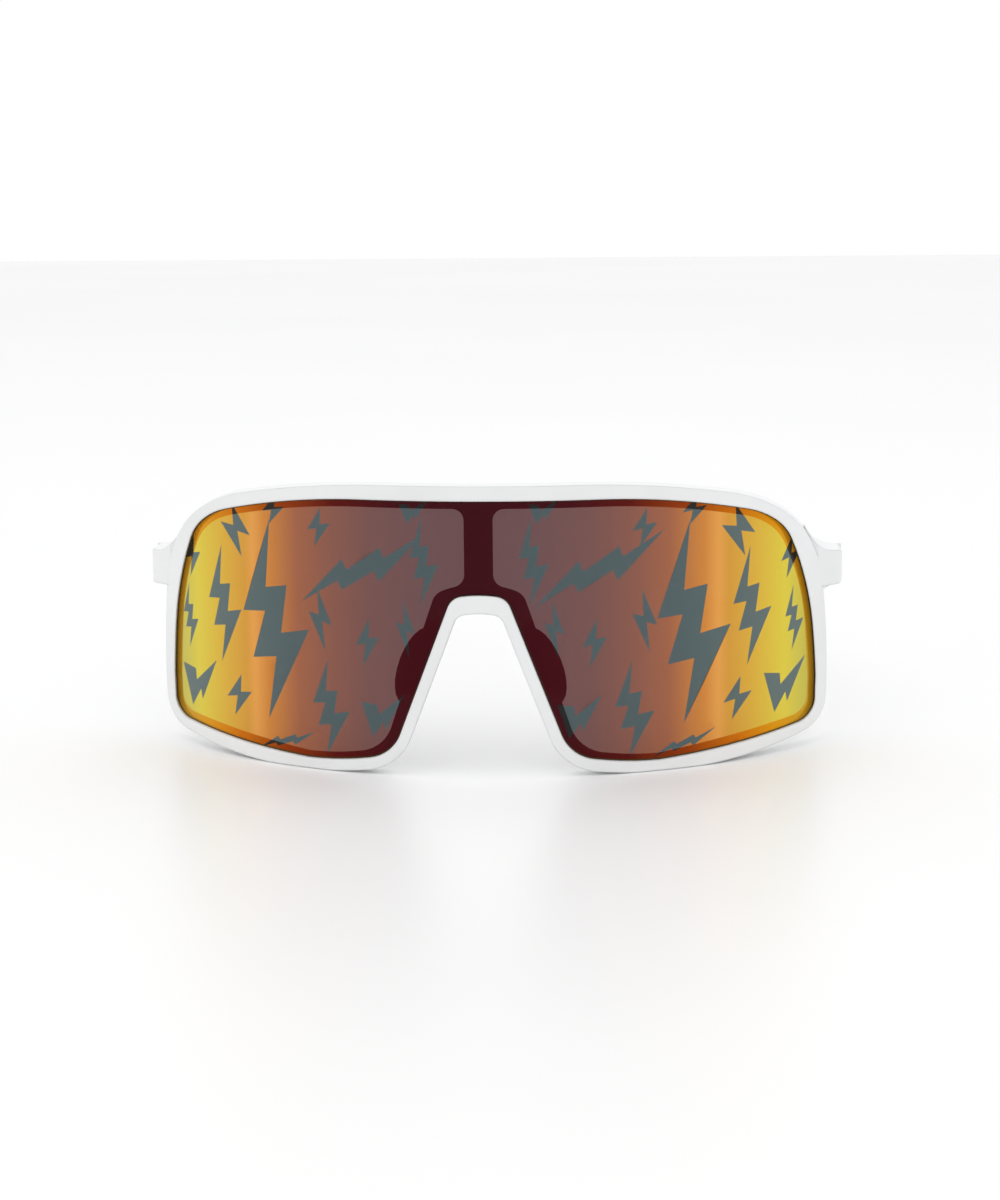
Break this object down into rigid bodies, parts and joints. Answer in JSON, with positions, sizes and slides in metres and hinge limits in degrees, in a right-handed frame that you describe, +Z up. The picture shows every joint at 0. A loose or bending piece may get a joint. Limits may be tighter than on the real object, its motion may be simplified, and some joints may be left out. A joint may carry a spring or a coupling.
{
  "type": "wraparound sport sunglasses",
  "caption": "Wraparound sport sunglasses with one cylindrical mirrored shield lens in a full rim, nose pads and folding temples on barrel hinges.",
  "frame": {"origin": "on the plane the open glasses stand on, at the middle of their length and width", "axes": "-Y is the way the lens faces, +Y runs back along the temples, +Z up, +X the wearer's left"},
  "size_m": [0.1492, 0.1684, 0.0592],
  "materials": {
    "frame_white": "satin",
    "lens_mirror": "mirror coated",
    "film": "milky clear film",
    "rubber_black": "matt",
    "core_steel": "brushed",
    "hinge_steel": "brushed",
    "screw_steel": "polished",
    "rivet_steel": "polished",
    "nylon": "matt"
  },
  "bodies": {
    "front": {"front_frame": "frame_white", "shield_lens": "lens_mirror", "lens_film_left": "film", "lens_film_right": "film", "nose_pad_left": "rubber_black", "nose_pad_right": "rubber_black", "nose_pad_core_left": "core_steel", "nose_pad_core_right": "core_steel", "frame_hinge_left": "hinge_steel", "frame_hinge_right": "hinge_steel", "hinge_screw_left": "screw_steel", "hinge_screw_right": "screw_steel", "hinge_washers_left": "nylon", "hinge_washers_right": "nylon", "frame_hinge_rivets_left": "rivet_steel", "frame_hinge_rivets_right": "rivet_steel"},
    "temple_arm_left": {"temple_left": "frame_white", "temple_hinge_left": "hinge_steel", "temple_hinge_rivets_left": "rivet_steel", "ear_grip_left": "rubber_black"},
    "temple_arm_right": {"temple_right": "frame_white", "temple_hinge_right": "hinge_steel", "temple_hinge_rivets_right": "rivet_steel", "ear_grip_right": "rubber_black"}
  },
  "joints": [
    {"name": "temple_fold_left", "type": "hinge", "parent": "front", "child": "temple_arm_left", "pos_m": [0.0694, -0.0373, 0.0372], "axis": [0, 0.2689, 0.9632], "range_deg": [0, 80]},
    {"name": "temple_fold_right", "type": "hinge", "parent": "front", "child": "temple_arm_right", "pos_m": [-0.0694, -0.0373, 0.0372], "axis": [0, -0.2689, -0.9632], "range_deg": [0, 70]}
  ]
}
